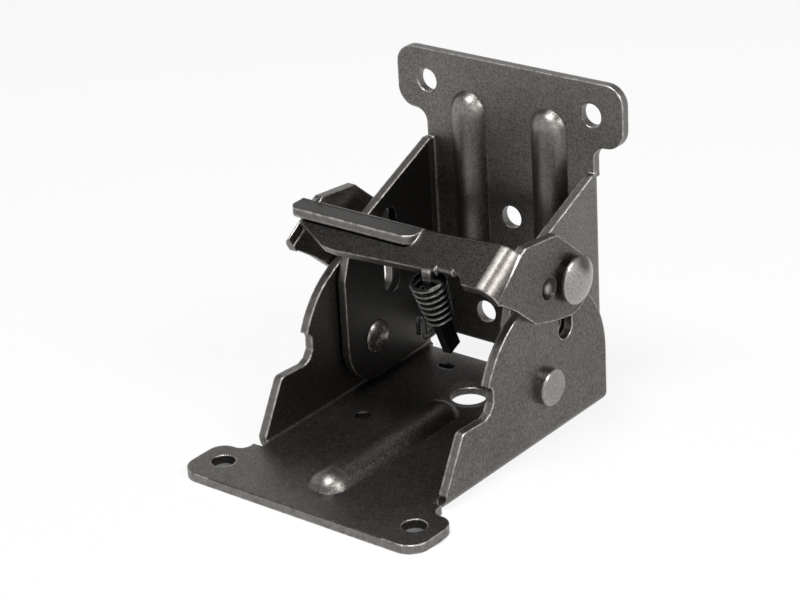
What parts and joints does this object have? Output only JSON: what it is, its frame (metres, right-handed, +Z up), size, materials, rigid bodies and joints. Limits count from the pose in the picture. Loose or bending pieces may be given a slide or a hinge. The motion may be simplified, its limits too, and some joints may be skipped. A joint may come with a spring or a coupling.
{
  "type": "folding shelf bracket",
  "caption": "Hinged sheet-steel bracket with a base channel and a leg channel; a sprung release lever and lock pin hold the leg upright or folded flat.",
  "frame": {"origin": "midway between the two ear holes of the base plate, on its underside", "axes": "+X to the bracket's right seen from the front ears, +Y from the front ears towards the leg, +Z up out of the surface the base is screwed to"},
  "size_m": [0.0626, 0.0799, 0.0724],
  "materials": {
    "bracket_steel": "dark bronze-grey plating, fine grain",
    "rivet_steel": "satin, slightly lighter",
    "spring_steel": "glossy black"
  },
  "bodies": {
    "base": {"base_bracket": "bracket_steel", "pivot_rivet_right": "rivet_steel", "pivot_rivet_left": "rivet_steel"},
    "leg": {"leg_bracket": "bracket_steel"},
    "pin": {"lock_pin": "rivet_steel"},
    "lever": {"release_lever": "bracket_steel", "return_spring": "spring_steel"}
  },
  "joints": [
    {"name": "leg_fold", "type": "hinge", "parent": "base", "child": "leg", "pos_m": [0, 0.047, 0.013], "axis": [1, 0, 0], "range_deg": [0, 90]},
    {"name": "pin_lift", "type": "slide", "parent": "leg", "child": "pin", "axis": [0, 0, 1], "range_m": [-0.0022, 0], "stiffness_N_per_m": 300, "springref_m": -0.0022},
    {"name": "lever_swing", "type": "hinge", "parent": "pin", "child": "lever", "pos_m": [0, 0.0532, 0.03587], "axis": [1, 0, 0], "range_deg": [-84, 0]}
  ],
  "couplings": [
    {"joint": "lever_swing", "follows": "leg_fold", "ratio": -0.93}
  ]
}
